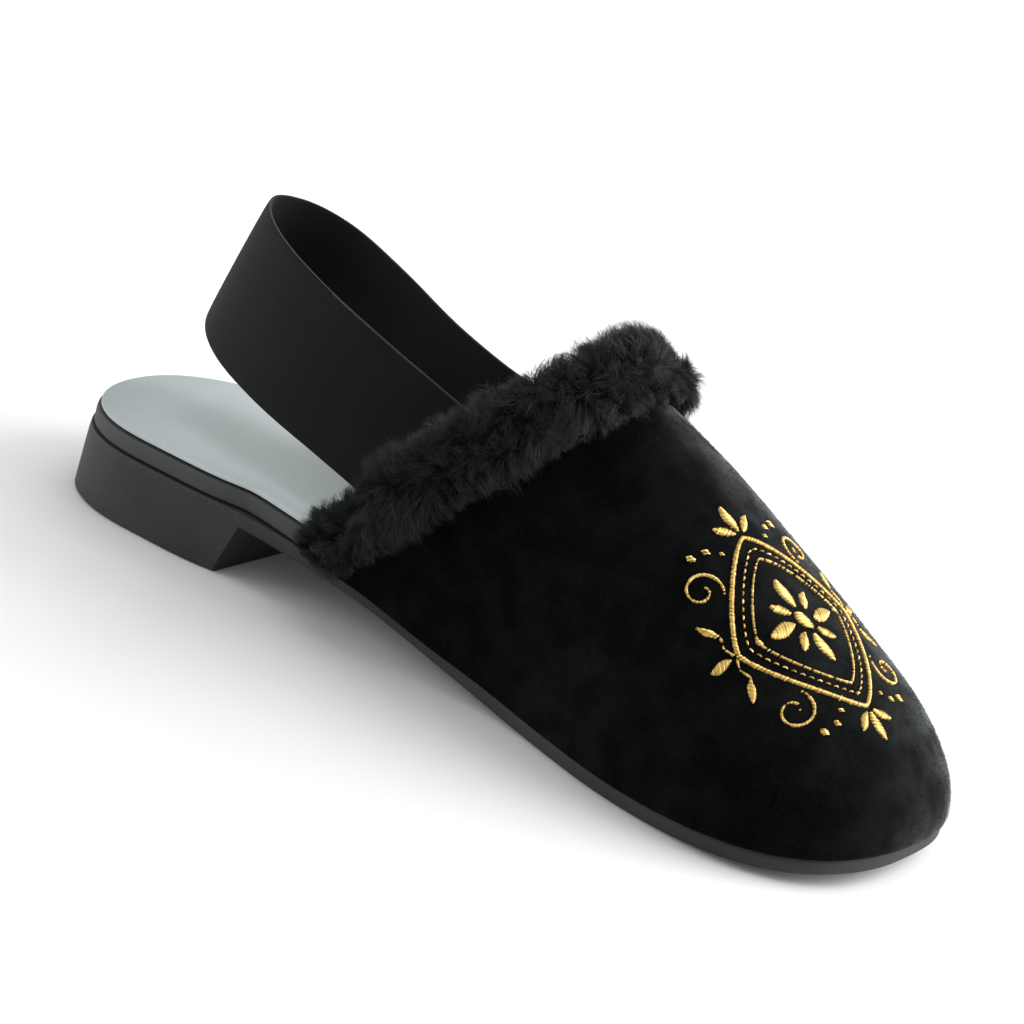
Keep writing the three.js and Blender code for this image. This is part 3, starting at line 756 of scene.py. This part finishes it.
# %% Draw the hairs
HAIR_WIDTH = 0.11 * MM
WIDTH_SHARES = (0.7, 1.2)  # the finest and the coarsest
TAPER, TAPER_POWER = 0.85, 1.5  # how much of its width a hair loses, and how late
LENGTH_SHARES = (0.7, 1.1)  # of the lock's length
STEPS = np.array([0.0, 0.3, 0.58, 0.82, 1.0])  # points along a hair
GATHER = 0.55  # how much of the way a tip leans to its lock at most
GATHER_SHARES = (0.5, 1.0)  # of that, from one hair to another
STRAYS = 0.03  # the share of hairs that lie loose
STRAY_LENGTH, STRAY_GATHER = 1.15, 0.1  # these are longer and hardly lean to a lock
CURL = 0.07  # sideways, as a share of a hair's length
LOCK_TONE = 0.6  # the share of a hair's tone that its lock gives
LIP_PAINTED_SHADE = -0.16  # painted shade: hairs behind the parting are a little darker, which dims the lamp light they catch
DARKEST, LIGHTEST = 0.38, 0.97  # how light the colour is for a tone of 0 and of 1
ROOT_SHARE = 0.28  # and how much of that a hair has at its root
HAIR_MESHES = 4


def number_attribute(mesh, name, values):
    """Stores one number for each vertex of a mesh."""
    made = mesh.attributes.new(name, "FLOAT", "POINT")
    made.data.foreach_set("value", np.asarray(values, dtype=np.float32).ravel())


def hair_paths(count):
    """Points along each hair, and the lock that it belongs to."""
    places, normals = scatter_on(roll, ground, count)
    owner = nearest(lock_place, places)
    stray = rng.random(count) < STRAYS
    lengths = lock_length[owner] * rng.uniform(*LENGTH_SHARES, count) * np.where(stray, STRAY_LENGTH, 1.0)
    astray = lock_astray[owner] + rng.normal(0, HAIR_ASTRAY, (count, 3))
    start, bend = grow(places, normals, lengths, astray)
    to_lock = lock_tip[owner] - (places + start + bend)
    gather = np.where(stray, STRAY_GATHER, GATHER) * rng.uniform(*GATHER_SHARES, count)
    pull = to_lock * gather[:, None]
    curl = rng.normal(0, CURL, (count, 3)) * lengths[:, None]
    t = STEPS[None, :, None]
    path = places[:, None] + start[:, None] * t + (bend + pull)[:, None] * t**2
    return path + curl[:, None] * np.sin(np.pi * t), owner


def hair_mesh(name, count):
    """One joined mesh of tapered ribbons, with a tone for each hair and its distance from the root."""
    path, owner = hair_paths(count)
    side = unit(np.cross(path[:, -1] - path[:, 0], rng.normal(0, 1, (count, 3))))
    taper = 1 - TAPER * STEPS[None, :-1] ** TAPER_POWER
    half = HAIR_WIDTH / 2 * rng.uniform(*WIDTH_SHARES, count)[:, None] * taper
    shift = side[:, None] * half[:, :, None]
    points = np.concatenate([path[:, :-1] - shift, path[:, :-1] + shift, path[:, -1:]], axis=1)
    last = len(STEPS) - 1
    quads = np.array([(k, k + last, k + last + 1, k + 1) for k in range(last - 1)])
    tip = np.array([(last - 1, 2 * last - 1, 2 * last)])
    base = np.arange(count)[:, None, None] * points.shape[1]
    faces = (base + quads).reshape(-1, 4).tolist() + (base + tip).reshape(-1, 3).tolist()
    piece = joined_mesh(name, points.reshape(-1, 3), faces)
    lip = np.maximum(0, -from_parting(path[:, 0]))
    tone = (1 - LOCK_TONE) * rng.random(count) + LOCK_TONE * lock_tone[owner] + LIP_PAINTED_SHADE * lip
    number_attribute(piece.data, "tone", tone.repeat(points.shape[1]))
    climb = np.concatenate([STEPS[:-1], STEPS[:-1], STEPS[-1:]])
    number_attribute(piece.data, "climb", np.tile(climb, count))
    return piece


fur_hair, tree, shader = new_finish("fur_hair", Roughness=0.5, Specular_IOR_Level=0.2)
tone = add_node(tree, "ShaderNodeAttribute", attribute_name="tone").outputs["Fac"]
climb = add_node(tree, "ShaderNodeAttribute", attribute_name="climb").outputs["Fac"]
toned = remap(tree, tone, 0, 1, DARKEST, LIGHTEST)
lit_tip = remap(tree, climb, 0, 1, ROOT_SHARE, 1)
shade = math_of(tree, "MULTIPLY", toned, lit_tip)
paint(tree, shader, shade, (0.0036, 0.0040, 0.0039), (0.041, 0.0453, 0.0448))

for number in range(HAIR_MESHES):
    settle(hair_mesh(f"fur_hairs_{number + 1}", HAIRS // HAIR_MESHES), [fur_hair])

# %% [markdown]
# ## The gold motif
# A motif in gold thread is worked on the vamp: a rosette in a pointed frame, with leaves and scrolls round
# it. Satin stitch fills a shape with threads laid side by side across it, so each shape here is a path
# with a width, and the stitches are counted off along it. Four functions give the width's share along a
# path. The motif is drawn flat in millimetres, with its first axis towards the toe, and then laid on the
# vamp.

# %% Draw the motif
STITCH_STEP = 0.42  # from one thread to the next
SLANT = math.radians(26)  # threads lie aslant of their shape
ENLARGE = 1.18  # the drawing's size on the shoe
UNEVEN = 0.08  # how far a stitch's ends stray
SHORTEST = 0.2  # half stitches shorter than this are left out
LEAF_POWER = 0.8  # below 1, a leaf is fuller than a wave
SWELLING, THINNING = 4, 0.55  # how fast a tapered shape widens, and the share that it loses by its tip


def even(t):
    """One width all along."""
    return np.ones_like(t)


def leaf(t):
    """Pointed at both ends."""
    return np.sin(np.pi * t) ** LEAF_POWER


def disc(t):
    """As wide as a circle."""
    return np.sqrt(np.maximum(0.0, 1 - (2 * t - 1) ** 2))


def tapered(t):
    """Widest near its root, and thinner towards its tip."""
    return np.minimum(1.0, SWELLING * t) * (1 - THINNING * t)


def straight(start, end):
    """A straight path along the drawing's first axis."""
    return np.array([(start, 0.0), (end, 0.0)])


def turned(path, degrees):
    """A path turned about the drawing's middle."""
    c, s = math.cos(math.radians(degrees)), math.sin(math.radians(degrees))
    return path @ np.array([[c, s], [-s, c]])


def spaced(path, step):
    """Points evenly spaced along a path, and their shares of its length."""
    run = np.concatenate([[0], np.cumsum(np.linalg.norm(np.diff(path, axis=0), axis=1))])
    marks = np.linspace(0, run[-1], max(3, round(run[-1] / step) + 1))
    points = np.stack([np.interp(marks, run, path[:, k]) for k in range(2)], axis=1)
    return points, marks / run[-1]


def satin(path, width, shape):
    """Stitches across a path, as pairs of ends. The shape gives the width's share along it."""
    spots, share = spaced(np.asarray(path, float) * ENLARGE, STITCH_STEP)
    heading = unit(np.gradient(spots, axis=0))
    across = np.stack([-heading[:, 1], heading[:, 0]], axis=1)
    thread = across * math.cos(SLANT) + heading * math.sin(SLANT)
    half = (width / 2 * ENLARGE * shape(share) + rng.normal(0, UNEVEN, len(share)))[:, None]
    ends = np.stack([spots - thread * half, spots + thread * half], axis=1)
    return ends[half[:, 0] > SHORTEST]


def running(path, stitch, gap):
    """Single stitches along a path, with gaps."""
    spots, _ = spaced(np.asarray(path, float) * ENLARGE, stitch + gap)
    heading = unit(np.gradient(spots, axis=0))
    return np.stack([spots - heading * stitch / 2, spots + heading * stitch / 2], axis=1)


# %% The motif's shapes
LOZENGE_LONG, LOZENGE_WIDE, LOZENGE_POWER = 19.5, 16.5, 1.3  # half sizes, and how full its sides are
LOZENGE_POINTS = 241
LOZENGE_LINES = ({"share": 1.0, "width": 1.05}, {"share": 0.74, "width": 0.5})
BETWEEN_LINES = {"share": 0.86, "stitch": 1.3, "gap": 0.7}
ROSETTE_MIDDLE = 4.0
PETALS = 8
PETAL_START = 2.9
PETAL_KINDS = ({"reach": 9.6, "width": 3.4}, {"reach": 7.6, "width": 2.4})  # by turns
around = np.linspace(0, 2 * np.pi, LOZENGE_POINTS)
lozenge = np.stack([
    LOZENGE_LONG * np.sign(np.cos(around)) * np.abs(np.cos(around)) ** (2 / LOZENGE_POWER),
    LOZENGE_WIDE * np.sign(np.sin(around)) * np.abs(np.sin(around)) ** (2 / LOZENGE_POWER),
], axis=1)
stitches = [satin(lozenge * line["share"], line["width"], even) for line in LOZENGE_LINES]
stitches.append(running(lozenge * BETWEEN_LINES["share"], BETWEEN_LINES["stitch"], BETWEEN_LINES["gap"]))
stitches.append(satin(straight(-ROSETTE_MIDDLE / 2, ROSETTE_MIDDLE / 2), ROSETTE_MIDDLE, disc))
for k in range(PETALS):
    kind = PETAL_KINDS[k % 2]
    petal = turned(straight(PETAL_START, kind["reach"]), 360 / PETALS * k)
    stitches.append(satin(petal, kind["width"], leaf))

# Three leaves at each point of the lozenge, towards the toe and towards the foot
SPRAY = (
    {"root": 0.0, "fan": 0, "start": 20.8, "reach": 27.0, "width": 2.8},
    {"root": 19.8, "fan": -52, "start": 1.2, "reach": 6.2, "width": 2.2},
    {"root": 19.8, "fan": 52, "start": 1.2, "reach": 6.2, "width": 2.2},
)
for way in (0, 180):
    for blade in SPRAY:
        path = turned(straight(blade["start"], blade["reach"]), blade["fan"]) + (blade["root"], 0.0)
        stitches.append(satin(turned(path, way), blade["width"], leaf))

# A scroll, a stem with its leaf and three dots in each corner
SCROLL_MIDDLE = (14.2, 14.6)
SCROLL_RADII = (4.3, 0.9)
SCROLL_ANGLES = (-150, 300)
SCROLL_POINTS = 90
STEM = np.array([(0.6, 17.2), (2.4, 17.9), (4.6, 17.2)])
STEM_LEAF = np.array([STEM[-1], (9.0, 19.6)])
SCROLL_WIDTH, STEM_WIDTH, STEM_LEAF_WIDTH = 0.95, 0.5, 1.7
DOTS = (
    {"along": 18.4, "across": 6.6, "size": 1.2},
    {"along": 20.2, "across": 9.0, "size": 1.5},
    {"along": 20.6, "across": 12.2, "size": 1.8},
)
turning = np.radians(np.linspace(*SCROLL_ANGLES, SCROLL_POINTS))
shrinking = np.linspace(*SCROLL_RADII, SCROLL_POINTS)[:, None]
scroll = SCROLL_MIDDLE + shrinking * np.stack([np.cos(turning), np.sin(turning)], axis=1)
for mirror_long in (1, -1):
    for mirror_wide in (1, -1):
        flip = np.array([mirror_long, mirror_wide])
        stitches.append(satin(scroll * flip, SCROLL_WIDTH, tapered))
        stitches.append(satin(STEM * flip, STEM_WIDTH, even))
        stitches.append(satin(STEM_LEAF * flip, STEM_LEAF_WIDTH, leaf))
        for dot in DOTS:
            path = straight(-dot["size"] / 2, dot["size"] / 2) + (dot["along"], dot["across"])
            stitches.append(satin(path * flip, dot["size"], disc))

# A leaf outside and a dot inside the lozenge's two side points
SIDE_LEAF = np.array([(0.0, 17.8), (0.0, 22.4)])
SIDE_LEAF_WIDTH = 2.4
SIDE_DOT, SIDE_DOT_SIZE = (0.0, 12.0), 1.4
for mirror_wide in (1, -1):
    flip = np.array([1, mirror_wide])
    stitches.append(satin(SIDE_LEAF * flip, SIDE_LEAF_WIDTH, leaf))
    path = straight(-SIDE_DOT_SIZE / 2, SIDE_DOT_SIZE / 2) + SIDE_DOT
    stitches.append(satin(path * flip, SIDE_DOT_SIZE, disc))
stitches = np.concatenate(stitches)
print(len(stitches), "stitches")

# %% [markdown]
# The flat drawing is wrapped on the vamp: its long axis runs along the ridge by measured length, and each
# point is found by a ray towards a line under the ridge. A stitch is a bowed thread whose ends go down
# into the velvet, so it is a short tube over five points.

# %% Lay the motif on the vamp
RIDGE_Y = -4.5  # the vamp's ridge lies to the medial side of the axis
MOTIF_MIDDLE = 206.0  # along the foot
MOTIF_SHIFT = -5.0  # and to the medial side of the ridge
WRAP = 32.0 * MM  # distance of the line under the ridge
ABOVE = 0.2  # metres over the floor, where rays to the ridge start
CLEAR = 0.04  # metres off the wrap, where rays to the velvet start
RIDGE_SPAN = (165, 243)  # along the foot, where the ridge is measured
STATIONS = 60

ridge = []
for along in np.linspace(*RIDGE_SPAN, STATIONS):
    start = shoe_point(along, RIDGE_Y, 0)
    start.z = ABOVE
    ridge.append(velvet_surface.ray_cast(start, Vector((0, 0, -1)))[0])
ridge = np.array(ridge)
ridge_run = np.concatenate([[0], np.cumsum(np.linalg.norm(np.diff(ridge, axis=0), axis=1))])
middle_run = np.interp(shoe_point(MOTIF_MIDDLE, 0, 0).x, ridge[:, 0], ridge_run)
ridge_slope = unit(np.gradient(ridge, axis=0))


def on_vamp(along, across):
    """The place and normal on the velvet for a point of the flat drawing in millimetres."""
    run = middle_run + along * MM
    spot = np.array([np.interp(run, ridge_run, ridge[:, k]) for k in range(3)])
    forward = np.array([np.interp(run, ridge_run, ridge_slope[:, k]) for k in range(3)])
    up = unit(np.cross(forward, (0, 1, 0)))
    angle = (across + MOTIF_SHIFT) * MM / WRAP
    out = up * math.cos(angle) + np.array([0, 1, 0]) * math.sin(angle)
    start = spot - up * WRAP + out * (WRAP + CLEAR)
    place, normal, _, _ = velvet_surface.ray_cast(Vector(start), Vector(-out))
    return np.array(place), np.array(normal)


# %% Make the threads
THREAD = 0.44 * MM
BOW = np.array([(0.0, -0.25), (0.14, 0.16), (0.5, 0.34), (0.86, 0.16), (1.0, -0.25)])  # share, lift in mm
SIDES = 5
TURN_TONE = 0.4  # the share of a stitch's tone that changes from one to the next


def thread_rings(ends):
    """Rings of vertices round one bowed stitch."""
    flat = ends[0] + (ends[1] - ends[0]) * BOW[:, :1]
    placed = [on_vamp(*point) for point in flat]
    normals = np.array([normal for _, normal in placed])
    path = np.array([place for place, _ in placed]) + normals * BOW[:, 1:] * MM
    side = unit(np.cross(np.gradient(path, axis=0), normals))
    angles = 2 * np.pi * np.arange(SIDES) / SIDES
    ring = side[:, None] * np.cos(angles)[None, :, None] + normals[:, None] * np.sin(angles)[None, :, None]
    return (path[:, None] + ring * THREAD / 2).reshape(-1, 3)


rows = len(BOW)
threads = np.concatenate([thread_rings(ends) for ends in stitches])
walls = [
    (r * SIDES + k, r * SIDES + (k + 1) % SIDES, (r + 1) * SIDES + (k + 1) % SIDES, (r + 1) * SIDES + k)
    for r in range(rows - 1)
    for k in range(SIDES)
]
caps = [tuple(range(SIDES))[::-1], tuple((rows - 1) * SIDES + k for k in range(SIDES))]
faces = [tuple(n * rows * SIDES + v for v in face) for n in range(len(stitches)) for face in walls + caps]
embroidery = joined_mesh("gold_embroidery", threads, faces)
by_turns = np.arange(len(stitches)) % 2
strand = (1 - TURN_TONE) * rng.random(len(stitches)) + TURN_TONE * by_turns
number_attribute(embroidery.data, "tone", strand.repeat(rows * SIDES))
activate(embroidery)
bpy.ops.object.mode_set(mode="EDIT")
bpy.ops.mesh.select_all(action="SELECT")
bpy.ops.mesh.normals_make_consistent(inside=False)
bpy.ops.object.mode_set(mode="OBJECT")
bpy.ops.object.shade_smooth()

gold, tree, shader = new_finish("gold_thread", Metallic=0.9, Roughness=0.3, Specular_IOR_Level=0.5)
tone = add_node(tree, "ShaderNodeAttribute", attribute_name="tone").outputs["Fac"]
paint(tree, shader, tone, (0.30, 0.17, 0.03), (0.86, 0.62, 0.22))
bump(tree, shader, noise(tree, object_place(tree), 5200.0, 2.0), strength=0.5, depth=0.1 * MM)
settle(embroidery, [gold])
